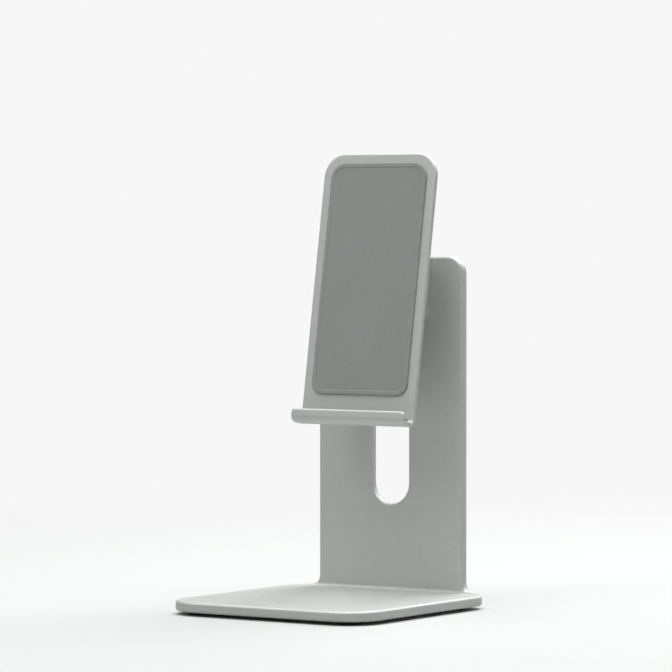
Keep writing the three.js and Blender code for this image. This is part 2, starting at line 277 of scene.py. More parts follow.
def bored(bm, x, y, steps, room=None):
    """Makes a round hole through a slab. steps are (radius, z) from one flat face to the other.
    room is the side of the square that the hole is cut out of."""
    if room:
        cut_across(bm, 0, [x - room / 2, x + room / 2])
        cut_across(bm, 1, [y - room / 2, y + room / 2])

    def opened(z):
        """Takes a face off and returns the edges round the gap."""
        flat = [f for f in bm.faces if all(abs(v.co.z - z) < CLOSE for v in f.verts)]
        here = Vector((x, y, z))
        face = min(flat, key=lambda f: (f.calc_center_bounds() - here).length)
        edges, corners = face.edges[:], [v.co.copy() for v in face.verts]
        reach = max((c - here).length for c in corners) + 0.01
        bmesh.ops.delete(bm, geom=[face], context="FACES_ONLY")
        if room:
            bmesh.ops.subdivide_edges(bm, edges=edges, cuts=HOLE_SIDES // 4 - 1)
        return [
            e
            for e in bm.edges
            if len(e.link_faces) == 1 and all((v.co - here).length < reach for v in e.verts)
        ]

    (radius, z), end_z = steps[0], steps[-1][1]
    ring = bmesh.ops.create_circle(bm, cap_ends=False, segments=HOLE_SIDES, radius=radius)["verts"]
    bmesh.ops.translate(bm, verts=ring, vec=(x, y, z))
    edges = list(dict.fromkeys(e for v in ring for e in v.link_edges))
    join_flat(bm, opened(z), edges)
    for (r0, z0), (r1, z1) in zip(steps, steps[1:]):
        made = bmesh.ops.extrude_edge_only(bm, edges=edges)["geom"]
        ring = [g for g in made if isinstance(g, bmesh.types.BMVert)]
        edges = [g for g in made if isinstance(g, bmesh.types.BMEdge)]
        for v in ring:
            v.co.x = x + (v.co.x - x) * r1 / r0
            v.co.y = y + (v.co.y - y) * r1 / r0
            v.co.z = z1
    join_flat(bm, [e for e in opened(end_z) if e not in edges], edges)
    bmesh.ops.recalc_face_normals(bm, faces=bm.faces[:])
    return bm


def hex_socket(bm, radius, depth):
    """Sinks a hexagonal socket with a drilled floor into the open top of a turned head."""
    rim = [e for e in bm.edges if len(e.link_faces) == 1]
    top = rim[0].verts[0].co.y
    place = Matrix.Translation((0, top, 0)) @ Matrix.Rotation(QUARTER, 4, "X")
    ring = bmesh.ops.create_circle(bm, cap_ends=False, segments=6, radius=radius, matrix=place)
    edges = list(dict.fromkeys(e for v in ring["verts"] for e in v.link_edges))
    bmesh.ops.subdivide_edges(bm, edges=edges, cuts=len(rim) // 6 - 1)
    edges = [e for e in bm.edges if not e.link_faces]
    join_flat(bm, rim, edges)
    for sink, shrink in ((0.12, 0.93), (depth - 0.12, 1)):
        made = bmesh.ops.extrude_edge_only(bm, edges=edges)["geom"]
        verts = [g for g in made if isinstance(g, bmesh.types.BMVert)]
        edges = [g for g in made if isinstance(g, bmesh.types.BMEdge)]
        for v in verts:
            v.co = (v.co.x * shrink, v.co.y - sink, v.co.z * shrink)
    floor = bmesh.ops.contextual_create(bm, geom=edges)["faces"]
    centre = bmesh.ops.poke(bm, faces=floor)["verts"][0]
    centre.co.y -= 0.3
    bmesh.ops.recalc_face_normals(bm, faces=bm.faces[:])
    return bm


def threaded(line, radius, end):
    """Draws the flanks of a thread down to y = end, as rings."""
    pitch = THREAD_PITCH
    while line.tip.co.y - pitch > end:
        line.by(-0.2, -0.3 * pitch).by(0, -0.1 * pitch)
        line.to(radius, line.tip.co.y - 0.45 * pitch).by(0, -0.15 * pitch)
    return line


ALONG_X = Matrix.Rotation(-QUARTER, 4, "Z")  # a turned piece's axis, local y, along +X
UPWARDS = Matrix.Rotation(QUARTER, 4, "X")  # local y up, local z towards the front
BACKWARDS = Matrix.Rotation(math.pi, 4, "Z")  # local y towards -Y
FROM_BACK = Matrix.Rotation(-QUARTER, 4, "X")  # a flat part's x, its y down and its z to the back
# A profile drawn as (Y, Z), its thickness along X.
PROFILE = Matrix(((0, 0, 1, 0), (1, 0, 0, 0), (0, 1, 0, 0), (0, 0, 0, 1)))


def mark_rims(bm):
    """Gives each vertex how far it lies on a rounded or sharp outer edge, where a finish wears,
    and keeps the sharp edges sharp."""
    rounded = bm.faces.layers.float.get("rounded")
    rim = bm.verts.layers.float.new("rim")
    for e in bm.edges:
        turn = e.calc_face_angle_signed(0)
        e.smooth = abs(turn) < SHARP
        if turn > SHARP:
            for v in e.verts:
                v[rim] = 0.8
    if rounded:
        for v in bm.verts:
            if all(f[rounded] for f in v.link_faces):
                v[rim] = 1
        bm.faces.layers.float.remove(rounded)


def piece(bm, name, nodes, place=STAND):
    """Turns a shape in millimetres into a finished object that stands for CAD nodes. The shape as
    drawn is kept in the attribute "own", for finishes that follow a piece's own axis."""
    mark_rims(bm)
    own = bm.verts.layers.float_vector.new("own")
    for v in bm.verts:
        v[own] = v.co * MM
    for face in bm.faces:
        face.smooth = True
    bm.transform(Matrix.Scale(MM, 4) @ place)
    mesh = bpy.data.meshes.new(name)
    bm.to_mesh(mesh)
    bm.free()
    made = bpy.data.objects.new(name, mesh)
    bpy.context.scene.collection.objects.link(made)
    shading = made.modifiers.new("even shading", "WEIGHTED_NORMAL")
    shading.keep_sharp = True
    slot = SLOT_OF[nodes[0]]
    mesh.materials.append(FINISHES[slot])
    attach(made, BODY_OF[nodes[0]])
    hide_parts(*nodes)
    return made


# ---- finishes: effects that several of them share ----


def node(tree, kind, inputs=None, **settings):
    """Adds a node; an input is a number, a colour or another node's output."""
    made = tree.nodes.new("ShaderNode" + kind)
    for name, value in settings.items():
        setattr(made, name, value)
    for key, value in (inputs or {}).items():
        socket = made.inputs[key]
        if isinstance(value, bpy.types.NodeSocket):
            tree.links.new(value, socket)
        else:
            socket.default_value = value
    return made


def times(tree, a, b):
    return node(tree, "Math", {0: a, 1: b}, operation="MULTIPLY").outputs[0]


def plus(tree, a, b):
    return node(tree, "Math", {0: a, 1: b}, operation="ADD").outputs[0]


def spread(tree, value, low, high, to_low=0.0, to_high=1.0):
    """Maps low..high to to_low..to_high and holds it there outside."""
    sides = {"Value": value, "From Min": low, "From Max": high}
    return node(tree, "MapRange", {**sides, "To Min": to_low, "To Max": to_high}).outputs[0]


def mixed(tree, amount, a, b):
    return node(tree, "Mix", {0: amount, 6: a, 7: b}, data_type="RGBA").outputs[2]


def effect(name, inputs, outputs):
    """A node group with number inputs and outputs; returns it with its inner ends."""
    tree = bpy.data.node_groups.new(name, "ShaderNodeTree")
    for socket, value in inputs.items():
        made = tree.interface.new_socket(socket, in_out="INPUT", socket_type="NodeSocketFloat")
        made.default_value = value
    for socket in outputs:
        tree.interface.new_socket(socket, in_out="OUTPUT", socket_type="NodeSocketFloat")
    start, end = tree.nodes.new("NodeGroupInput"), tree.nodes.new("NodeGroupOutput")
    return tree, start.outputs, end.inputs


def on_object(tree):
    return node(tree, "TexCoord").outputs["Object"]


def blast_grain():
    """The tiny even craters of bead blasting, of a powder coat or of a spark-eroded mould."""
    tree, given, out = effect("blast_grain", {"Scale": 3000, "Sharpness": 0.5}, ("Height", "Tone"))
    where = on_object(tree)
    fine = node(tree, "TexNoise", {"Vector": where, "Scale": given["Scale"], "Detail": 2})
    pits = node(tree, "TexVoronoi", {"Vector": where, "Scale": given["Scale"]})
    pit = spread(tree, pits.outputs["Distance"], 0.1, 0.7)
    both = node(tree, "Mix", {0: given["Sharpness"], 2: fine.outputs[0], 3: pit})
    tree.links.new(both.outputs[0], out["Height"])
    broad = node(tree, "TexNoise", {"Vector": where, "Scale": times(tree, given["Scale"], 0.3)})
    tree.links.new(spread(tree, broad.outputs[0], 0.35, 0.65), out["Tone"])
    return tree


def edge_wear():
    """Where handling has rubbed the rims: patchy along them, nothing on the flats."""
    tree, given, out = effect("edge_wear", {"Amount": 1, "Scale": 60}, ("Mask",))
    rim = node(tree, "Attribute", attribute_name="rim", attribute_type="GEOMETRY")
    patch = node(
        tree, "TexNoise", {"Vector": on_object(tree), "Scale": given["Scale"], "Detail": 4}
    )
    patchy = spread(tree, patch.outputs[0], 0.38, 0.68)
    worn = times(tree, times(tree, rim.outputs["Fac"], patchy), given["Amount"])
    tree.links.new(worn, out["Mask"])
    return tree


def handling():
    """Faint clouds left by hands and wiping, as wide as a fingertip to a palm."""
    tree, given, out = effect("handling", {"Scale": 22, "Stretch": 1.6}, ("Mask", "Fine"))
    stretch = node(tree, "CombineXYZ", {0: 1.0, 1: 1.0, 2: given["Stretch"]}).outputs[0]
    where = node(tree, "Mapping", {"Vector": on_object(tree), "Scale": stretch}).outputs[0]
    clouds = {"Vector": where, "Scale": given["Scale"], "Detail": 3, "Distortion": 0.8}
    wide = node(tree, "TexNoise", clouds)
    tree.links.new(spread(tree, wide.outputs[0], 0.35, 0.7), out["Mask"])
    close = {"Vector": where, "Scale": times(tree, given["Scale"], 7), "Detail": 5}
    streaks = node(tree, "TexNoise", close)
    tree.links.new(spread(tree, streaks.outputs[0], 0.4, 0.7), out["Fine"])
    return tree


def settled_dust():
    """A thin film on whatever faces up, broken into specks."""
    tree, given, out = effect("settled_dust", {"Amount": 0.3, "Scale": 900}, ("Mask",))
    facing = node(tree, "SeparateXYZ", {0: node(tree, "TexCoord").outputs["Normal"]}).outputs[2]
    up = spread(tree, facing, 0.3, 1.0)
    where = on_object(tree)
    specks = node(tree, "TexNoise", {"Vector": where, "Scale": given["Scale"], "Detail": 3})
    drift = node(tree, "TexNoise", {"Vector": where, "Scale": 35, "Detail": 3})
    film = times(
        tree,
        spread(tree, specks.outputs[0], 0.48, 0.66, 0.3, 1),
        spread(tree, drift.outputs[0], 0.35, 0.7, 0.2, 1),
    )
    tree.links.new(times(tree, times(tree, up, film), given["Amount"]), out["Mask"])
    return tree


def fine_scratches():
    """Hair-thin scuffs a few centimetres long, running in three directions, in patches."""
    tree, given, out = effect("fine_scratches", {"Scale": 260, "Amount": 1}, ("Mask",))
    where = on_object(tree)
    marks = 0.0
    for turn in (0.35, 1.25, 2.3):
        turned = node(tree, "Mapping", {"Vector": where, "Rotation": (turn, turn * 0.7, turn)})
        long = node(tree, "Mapping", {"Vector": turned.outputs[0], "Scale": (0.02, 1, 1)})
        hairs = {"Vector": long.outputs[0], "Scale": given["Scale"], "Detail": 0}
        lines = node(tree, "TexNoise", hairs).outputs[0]
        middle = node(tree, "Math", {0: lines, 1: 0.5, 2: 0.006}, operation="COMPARE").outputs[0]
        here = node(tree, "TexNoise", {"Vector": turned.outputs[0], "Scale": 24}).outputs[0]
        marks = plus(tree, marks, times(tree, middle, spread(tree, here, 0.58, 0.68)))
    tree.links.new(times(tree, marks, given["Amount"]), out["Mask"])
    return tree


def lathe_marks():
    """Fine rings round a turned part's own axis."""
    tree, given, out = effect("lathe_marks", {"Pitch": 9000, "Waver": 0.4}, ("Height", "Tone"))
    own = node(tree, "Attribute", attribute_name="own", attribute_type="GEOMETRY")
    own = own.outputs["Vector"]
    flat = node(tree, "VectorMath", {0: own, 1: (1, 0, 1)}, operation="MULTIPLY").outputs[0]
    radius = node(tree, "VectorMath", {0: flat}, operation="LENGTH").outputs["Value"]
    along = node(tree, "SeparateXYZ", {0: own}).outputs[1]
    step = times(tree, plus(tree, radius, along), given["Pitch"])
    rough = node(tree, "TexNoise", {"Vector": own, "Scale": 1500, "Detail": 2}).outputs[0]
    step = plus(tree, step, times(tree, rough, given["Waver"]))
    rings = node(tree, "TexNoise", {"W": step, "Scale": 1, "Detail": 2}, noise_dimensions="1D")
    tree.links.new(rings.outputs[0], out["Height"])
    tree.links.new(spread(tree, rings.outputs[0], 0.3, 0.7), out["Tone"])
    return tree


GRAIN, WEAR, HANDLING = blast_grain(), edge_wear(), handling()
DUST, LATHE, SCRATCHES = settled_dust(), lathe_marks(), fine_scratches()


# ---- finishes: one for each material of the stand ----


class Finish:
    """A material that starts from the record's base colour and adds effects to it."""

    def __init__(self, slot, **fixed):
        self.slot = slot
        self.material = bpy.data.materials.new(slot)
        self.material.use_nodes = True
        self.tree = self.material.node_tree
        self.shader = self.tree.nodes["Principled BSDF"]
        for name, value in fixed.items():
            self.shader.inputs[name.replace("_", " ")].default_value = value

    def use(self, tree, **values):
        made = node(self.tree, "Group", node_tree=tree)
        for name, value in values.items():
            made.inputs[name].default_value = value
        return made.outputs

    def tint(self, share, warm=0.0):
        """The base colour times a share, warmer or cooler."""
        r, g, b = (c * share for c in BASE_COLOUR[self.slot])
        return (min(r * (1 + warm), 1), min(g, 1), min(b * (1 - warm), 1), 1)

    def colour(self, first, *layers):
        """Lays tints over the first one, each by a mask."""
        made = first
        for mask, amount, tint in layers:
            made = mixed(self.tree, times(self.tree, mask, amount), made, tint)
        self.tree.links.new(made, self.shader.inputs["Base Color"])

    def roughness(self, base, *changes):
        total = base
        for mask, change in changes:
            total = plus(self.tree, times(self.tree, mask, change), total)
        self.tree.links.new(total, self.shader.inputs["Roughness"])

    def relief(self, *heights):
        """Bumps one on the other: each a height, its depth in millimetres, and a strength."""
        normal = None
        for height, depth, strength in heights:
            inputs = {"Height": height, "Distance": depth * MM, "Strength": strength}
            if normal:
                inputs["Normal"] = normal
            normal = node(self.tree, "Bump", inputs).outputs[0]
        self.tree.links.new(normal, self.shader.inputs["Normal"])
        return self.material


def satin_aluminium():
    f = Finish("satin_aluminium", Metallic=0.7, IOR=1.5)
    grain, craters = f.use(GRAIN, Scale=2400, Sharpness=0.45), f.use(GRAIN, Scale=900)
    hands, wear = f.use(HANDLING, Scale=16), f.use(WEAR, Amount=0.8)
    dust, scuffs = f.use(DUST, Amount=0.25), f.use(SCRATCHES, Amount=0.35)
    f.colour(
        f.tint(1),
        (grain["Tone"], 0.4, f.tint(0.9)),
        (craters["Tone"], 0.2, f.tint(0.94)),
        (hands["Mask"], 0.3, f.tint(0.95, 0.012)),
        (wear["Mask"], 0.5, f.tint(1.1)),
        (scuffs["Mask"], 0.5, f.tint(1.12)),
        (dust["Mask"], 0.4, f.tint(1.05, 0.02)),
    )
    changes = (hands["Mask"], 0.06), (hands["Fine"], 0.04), (wear["Mask"], -0.1)
    f.roughness(0.6, *changes, (dust["Mask"], 0.2), (scuffs["Mask"], -0.2))
    fine = (hands["Fine"], 0.02, 0.08), (craters["Height"], 0.05, 0.12)
    return f.relief(*fine, (grain["Height"], 0.04, 0.35))


def cast_metal():
    f = Finish("cast_metal", Metallic=0.45, IOR=1.5)
    grain, lumps = f.use(GRAIN, Scale=1500, Sharpness=0.8), f.use(GRAIN, Scale=420, Sharpness=0.1)
    wear, dust = f.use(WEAR, Amount=1, Scale=160), f.use(DUST, Amount=0.35)
    f.colour(
        f.tint(1),
        (grain["Tone"], 0.35, f.tint(0.88)),
        (wear["Mask"], 0.5, f.tint(1.2, 0.01)),
        (dust["Mask"], 0.5, f.tint(1.15, 0.02)),
    )
    f.roughness(0.5, (grain["Tone"], 0.08), (wear["Mask"], -0.15), (dust["Mask"], 0.3))
    return f.relief((lumps["Height"], 0.2, 0.35), (grain["Height"], 0.07, 0.5))


def turned_metal(slot, rough, stain, stain_amount):
    f = Finish(slot, Metallic=1.0)
    marks, grain = f.use(LATHE), f.use(GRAIN, Scale=5000, Sharpness=0.2)
    stains, wear = f.use(HANDLING, Scale=180), f.use(WEAR, Amount=1, Scale=400)
    f.colour(
        f.tint(1),
        (marks["Tone"], 0.3, f.tint(0.85)),
        (stains["Mask"], stain_amount, stain),
        (wear["Mask"], 0.6, f.tint(1.3)),
    )
    f.roughness(rough, (marks["Tone"], 0.1), (stains["Mask"], 0.1), (wear["Mask"], -0.1))
    return f.relief((marks["Height"], 0.02, 0.3), (grain["Height"], 0.01, 0.2))


def moulded(slot, rough, scale, depth, dusty, shade=1, **fixed):
    f = Finish(slot, **fixed)
    grain, broad = f.use(GRAIN, Scale=scale, Sharpness=0.6), f.use(HANDLING, Scale=30, Stretch=1)
    wear, dust = f.use(WEAR, Amount=0.8, Scale=220), f.use(DUST, Amount=dusty, Scale=1400)
    f.colour(
        f.tint(shade),
        (grain["Tone"], 0.35, f.tint(0.9 * shade)),
        (broad["Mask"], 0.4, f.tint(0.93 * shade, 0.015)),
        (wear["Mask"], 0.5, f.tint(1.18 * shade)),
        (dust["Mask"], 0.8, (0.5, 0.49, 0.47, 1)),
    )
    changes = (grain["Tone"], 0.08), (broad["Mask"], 0.06), (wear["Mask"], -0.12)
    f.roughness(rough, *changes, (dust["Mask"], 0.2))
    return f.relief((broad["Fine"], 0.04, 0.15), (grain["Height"], depth, 0.5))


FINISHES = {
    "satin_aluminium": satin_aluminium(),
    "cast_metal": cast_metal(),
    "screw_steel": turned_metal("screw_steel", 0.3, (0.5, 0.51, 0.56, 1), 0.5),
    "spring_steel": turned_metal("spring_steel", 0.28, (0.2, 0.17, 0.14, 1), 0.6),
    "bronze": turned_metal("bronze", 0.34, (0.36, 0.24, 0.13, 1), 0.5),
    "grey_silicone": moulded("grey_silicone", 0.7, 2200, 0.04, 0.35, 0.7, Sheen_Weight=0.15),
    "black_rubber": moulded("black_rubber", 0.72, 1800, 0.05, 0.15, Sheen_Weight=0.1),
    "cap_plastic": moulded("cap_plastic", 0.5, 1600, 0.05, 0.25, IOR=1.46),
}


# ---- foot and column: one plate, cut flat, edges rounded, then bent ----


def foot_and_column():
    middle = BEND_IN + SHEET / 2
    bend = QUARTER * middle
    bend_z = BASE_TOP + BEND_IN
    top = bend_z - FOOT_HIGH.z
    front = bend + COLUMN_FACE - BEND_IN - FOOT_LOW.y
    base_half = FOOT_HIGH.x
    slot_top, slot_end = bend_z - SLOT_HIGH, bend_z - SLOT_LOW
    # y runs down the column and then forward along the base, from 0 where the bend starts.
    flare_x = COLUMN_HALF + FLARE
    flare_end_x = flare_x - FLARE * math.cos(FLARE_TURN)
    flare_end_y = FLARE_START + FLARE * math.sin(FLARE_TURN)
    shoulder = (base_half - flare_end_x) / (1 - math.cos(FLARE_TURN))
    shoulder_y = flare_end_y + shoulder * math.sin(FLARE_TURN)
    line = Outline(0, top).to(COLUMN_HALF - COLUMN_CORNER, top)
    line.turn(COLUMN_HALF - COLUMN_CORNER, top + COLUMN_CORNER, QUARTER, 12)
    line.to(COLUMN_HALF, FLARE_START).turn(flare_x, FLARE_START, -FLARE_TURN, 14)
    line.turn(base_half - shoulder, shoulder_y, FLARE_TURN, 12)
    line.to(base_half, front - BASE_CORNER)
    line.turn(base_half - BASE_CORNER, front - BASE_CORNER, QUARTER, 20)
    line.to(0, front).to(0, slot_end).turn(0, slot_end - SLOT_HALF, -QUARTER, 14)
    line.to(SLOT_HALF, slot_top + SLOT_HALF)
    line.turn(0, slot_top + SLOT_HALF, -QUARTER, 14).to(0, top)
    bm = thicken(line.face(), -SHEET / 2, SHEET / 2)
    open_seam(bm)
    round_off(bm, sharp_edges(bm), 1.7, 5)
    for part in ("bracket_screw_lower_right", "bracket_screw_upper_right"):
        low, high = box_in(STAND, part)
        x, y = (low.x + high.x) / 2, bend_z - (low.z + high.z) / 2
        face, drill_r = SHEET / 2, 2.2
        steps = [(COUNTERSINK_R + EDGE_BREAK, face), (COUNTERSINK_R, face - EDGE_BREAK)]
        steps += [(drill_r, face - 2.1), (drill_r, -face)]
        bored(bm, x, y, steps, room=10)
    bmesh.ops.translate(bm, verts=bm.verts[:], vec=(0, -top, 0))
    cut_across(bm, 1, [bend * i / 18 - top for i in range(19)])
    folded(bm, COLUMN_FACE + SHEET / 2, FOOT_HIGH.z, [(-top, middle)])
    return piece(mirrored(bm), "foot_and_column_plate", ["foot_and_column"])


def feet():
    for part in sorted(n for n in frame["nodes"] if n.startswith("foot_pad_")):
        low, high = box_in(STAND, part)
        radius, top = (high.x - low.x) / 2, high.z
        line = Outline(0, 0.35).to(radius * 0.3, 0.35).by(0.35, -0.35).to(radius * 0.55, 0)
        line.by(0.3, 0.35).by(0.5, 0).by(0.3, -0.35).to(radius - 0.7, 0)
        line.turn(radius - 0.7, 0.7, QUARTER, 5).to(radius, top - 0.3)
        line.turn(radius - 0.3, top - 0.3, QUARTER, 3).to(0, top)
        centre = Matrix.Translation(((low.x + high.x) / 2, (low.y + high.y) / 2, 0))
        piece(line.turned(), part + "_rubber", [part], centre @ UPWARDS)


# ---- tilting panel with its ledge, and the silicone on them ----


def tablet_panel():
    outside, half = LEDGE_BEND, PANEL_HIGH.x
    middle = outside - PANEL_SHEET / 2
    first = PANEL_HIGH.z - PANEL_LOW.z - outside
    ledge = PANEL_HIGH.y - PANEL_LOW.y - 2 * outside
    second = first + QUARTER * middle + ledge
    end = second + QUARTER * middle + LIP_HEIGHT - outside
    line = Outline(0, 0).to(half - PANEL_CORNER, 0)
    line.turn(half - PANEL_CORNER, PANEL_CORNER, QUARTER, 16).to(half, end - LIP_CORNER)
    line.turn(half - LIP_CORNER, end - LIP_CORNER, QUARTER, 6).to(0, end).to(0, 0)
    bm = thicken(line.face(), -PANEL_SHEET / 2, PANEL_SHEET / 2)
    open_seam(bm)
    round_off(bm, sharp_edges(bm), 1.25, 5)
    for part in ("panel_screw_lower_right", "panel_screw_upper_right"):
        low, high = box_in(HEAD, part)
        x, y = (low.x + high.x) / 2, PANEL_HIGH.z - (low.z + high.z) / 2
        face, drill_r = PANEL_SHEET / 2, 2.15
        bored(bm, x, y, [(COUNTERSINK_R, -face), (drill_r, 2 - face), (drill_r, face)], room=10)
    cut_across(bm, 1, [first + QUARTER * middle * i / 10 for i in range(11)])
    cut_across(bm, 1, [second + QUARTER * middle * i / 10 for i in range(11)])
    folded(bm, PANEL_HIGH.y - PANEL_SHEET / 2, PANEL_HIGH.z, [(first, middle), (second, middle)])
    return piece(mirrored(bm), "tablet_panel_sheet", ["tablet_panel"], HEAD)


def panel_pad():
    low, high = box_in(HEAD, "panel_pad")
    bm = rounded_rect(low.x, high.x, low.z, high.z, 7, 9, 12)
    thicken(bm, -high.y, -low.y)
    front = -low.y
    face = next(f for f in bm.faces if all(abs(v.co.z - front) < CLOSE for v in f.verts))
    bmesh.ops.inset_region(bm, faces=[face], thickness=2.2, depth=0, use_even_offset=True)
    bmesh.ops.inset_region(bm, faces=[face], thickness=0.35, depth=-0.3, use_even_offset=True)
    at_rim = lambda middle: abs(middle.z - front) < CLOSE
    round_off(bm, sharp_edges(bm, at_rim, 60), 0.45, 4)
    return piece(bm, "panel_pad_silicone", ["panel_pad"], HEAD @ UPWARDS)


def ledge_pad():
    low, high = box_in(HEAD, "ledge_pad")
    thick, lining, inner = 1.4, 0.6, LEDGE_BEND - PANEL_SHEET
    line = Outline(high.y, low.z).to(high.y, low.z + thick - 0.3)
    line.turn(high.y - 0.3, low.z + thick - 0.3, QUARTER, 3)
    for i in range(2):
        line.to(high.y - 1.4 - 1.5 * i, low.z + thick).by(-0.2, -0.3).by(-0.3, 0).by(-0.2, 0.3)
    line.to(low.y + lining + 0.5, low.z + thick)
    line.turn(low.y + lining + 0.5, low.z + thick + 0.5, -QUARTER, 4)
    line.to(low.y + lining, high.z - 0.25).turn(low.y + lining - 0.25, high.z - 0.25, QUARTER, 4)
    line.to(low.y, high.z).to(low.y, low.z + inner)
    line.turn(low.y + inner, low.z + inner, QUARTER, 4).to(high.y, low.z)
    bm = thicken(line.face(), low.x, high.x)
    return piece(bm, "ledge_pad_silicone", ["ledge_pad"], HEAD @ PROFILE)


# ---- hinge: bracket on the column, knuckle on the panel ----

BARREL_R, BORE_R = 6.8, 3.1
EAR_IN, KNUCKLE_HALF = 16, 15
COUNTERBORE_R, COUNTERBORE_FLOOR = 5.2, 23
CASTING_EDGE = 0.5


def two_depths(bm, split_z, inner, outer, wide_is_low):
    """From a profile drawn as (Y, Z), makes half a casting: the part on one side of split_z, and
    the part that only reaches from x = inner to outer, or from x = 0 to inner."""
    bmesh.ops.bisect_plane(
        bm,
        geom=bm.verts[:] + bm.edges[:] + bm.faces[:],
        dist=1e-5,
        plane_co=(0, split_z, 0),
        plane_no=(0, 1, 0),
    )
    reach = (inner, 0) if wide_is_low else (inner, outer)
    thicken(bm, *reach)
    low = [
        f
        for f in bm.faces
        if all(abs(v.co.z - inner) < CLOSE for v in f.verts)
        and f.calc_center_median().y < split_z
    ]
    pulled = bmesh.ops.extrude_face_region(bm, geom=low)["geom"]
    verts = [g for g in pulled if isinstance(g, bmesh.types.BMVert)]
    further = outer if wide_is_low else 0
    bmesh.ops.translate(bm, verts=verts, vec=(0, 0, further - inner))
    between = [f for f in low if f.is_valid]
    bmesh.ops.delete(bm, geom=between, context="FACES_ONLY")
    bmesh.ops.dissolve_limit(
        bm, angle_limit=math.radians(1), verts=bm.verts[:], edges=bm.edges[:]
    )
    bmesh.ops.recalc_face_normals(bm, faces=bm.faces[:])
    return bm


def hinge_bracket():
    low, high = box_in(STAND, "hinge_bracket")
    back, block_front, under = high.y, high.y - 5.95, AXIS.z - BARREL_R
    ear_out = high.x
    line = Outline(block_front, low.z).to(back, low.z).to(back, high.z).to(AXIS.y, high.z)
    line.turn(AXIS.y, AXIS.z, math.pi, 24).to(block_front, under).to(block_front, low.z)
    bm = two_depths(line.face(), under, EAR_IN, ear_out, False)
    bm.transform(PROFILE)
    corner = lambda m: m.x > ear_out - 0.01 and m.z < low.z + 0.01
    round_off(bm, sharp_edges(bm, corner), 5, 8)
    open_seam(bm)
    round_off(bm, sharp_edges(bm, lambda m: m.y < back - 0.01, 35), CASTING_EDGE, 3)
    bm.transform(PROFILE.inverted())
    cut_across(bm, 1, [under + 0.6])
    steps = [(COUNTERBORE_R + EDGE_BREAK, ear_out), (COUNTERBORE_R, ear_out - EDGE_BREAK)]
    steps += [(COUNTERBORE_R, COUNTERBORE_FLOOR), (BORE_R, COUNTERBORE_FLOOR), (BORE_R, EAR_IN)]
    bored(bm, AXIS.y, AXIS.z, steps)
    bm.transform(PROFILE)
    return piece(mirrored(bm), "hinge_bracket_casting", ["hinge_bracket"])


def hinge_knuckle():
    low, high = box_in(HEAD, "hinge_knuckle")
    front, back, neck_z = low.y, low.y + 2.4, -10.5
    lean = -math.pi / 4
    line = Outline(front, low.z).to(back, low.z).to(back, neck_z)
    line.to(BARREL_R * math.cos(lean), BARREL_R * math.sin(lean))
    line.turn(0, 0, QUARTER - lean, 18).to(front, BARREL_R).to(front, low.z)
    bm = two_depths(line.face(), neck_z, KNUCKLE_HALF, high.x, True)
    bm.transform(PROFILE)
    corner = lambda m: m.x > high.x - 0.01 and m.z < low.z + 0.01
    round_off(bm, sharp_edges(bm, corner), 5, 8)
    corner = lambda m: m.x > high.x - 0.01 and abs(m.z - neck_z) < 0.01
    round_off(bm, sharp_edges(bm, corner), 2, 5)
    open_seam(bm)
    round_off(bm, sharp_edges(bm, lambda m: m.y > front + 0.01, 35), CASTING_EDGE, 3)
    bm.transform(FROM_BACK.inverted())
    for part in ("panel_screw_lower_right", "panel_screw_upper_right"):
        low_screw, high_screw = box_in(HEAD, part)
        x, y = (low_screw.x + high_screw.x) / 2, -(low_screw.z + high_screw.z) / 2
        bored(bm, x, y, [(2.3, back), (2.1, back - 0.2), (2.1, front)], room=6)
    bm.transform(FROM_BACK)
    return piece(mirrored(bm), "hinge_knuckle_casting", ["hinge_knuckle"], HEAD)


def countersunk_screws():
    for part in sorted(n for n in frame["nodes"] if "_screw_" in n):
        on_panel = part.startswith("panel")
        place = HEAD if on_panel else STAND
        low, high = box_in(place, part)
        length = high.y - low.y
        line = Outline(1.6, 0).to(SCREW_HEAD_R - 0.35, 0)
        line.turn(SCREW_HEAD_R - 0.35, -0.2, -QUARTER, 4).by(0.15, -0.12)
        line.to(SCREW_R, -SCREW_HEAD).by(0, -0.3)
        threaded(line, SCREW_R, 0.5 - length)
        line.to(SCREW_R - 0.45, -length).to(0, -length)
        bm = hex_socket(line.turned(), 1.45, 1.4)
        face = Vector(((low.x + high.x) / 2, low.y if on_panel else high.y, (low.z + high.z) / 2))
        place = place @ Matrix.Translation(face)
        piece(bm, part + "_steel", [part], place @ BACKWARDS if on_panel else place)


def on_axis(side):
    """Local y out along the hinge axis, to the right or the left."""
    return AT_AXIS @ (ALONG_X if side > 0 else ALONG_X @ Matrix.Rotation(math.pi, 4, "Z"))


def hinge_shaft():
    low, high = box_in(AT_AXIS, "hinge_shaft")
    line = Outline(2.2, -low.x).to(3.8, -low.x).to(4.3, -0.2 - low.x).to(4.6, -0.7 - low.x)
    line.to(4.6, 23.2).to(4.5, 23.05).to(3, 23.05).to(3, -22.5).to(2.5, -23)
    threaded(line, 2.5, 0.6 - high.x).to(2.1, -high.x).to(0, -high.x)
    piece(hex_socket(line.turned(), 2, 1.8), "hinge_shaft_steel", ["hinge_shaft"], on_axis(-1))


def friction_washers():
    for side, part in ((-1, "friction_washer_left"), (1, "friction_washer_right")):
        line = Outline(3.3, 15.2).to(6, 15.2).by(0.2, 0.15).by(0, 0.45).by(-0.2, 0.15)
        line.to(4.9, 15.95).by(-0.15, -0.15).by(-0.3, 0).by(-0.15, 0.15).to(3.3, 15.95)
        line.by(-0.2, -0.15).by(0, -0.45).to(3.3, 15.2)
        piece(line.turned(), part + "_ring", [part], on_axis(side))


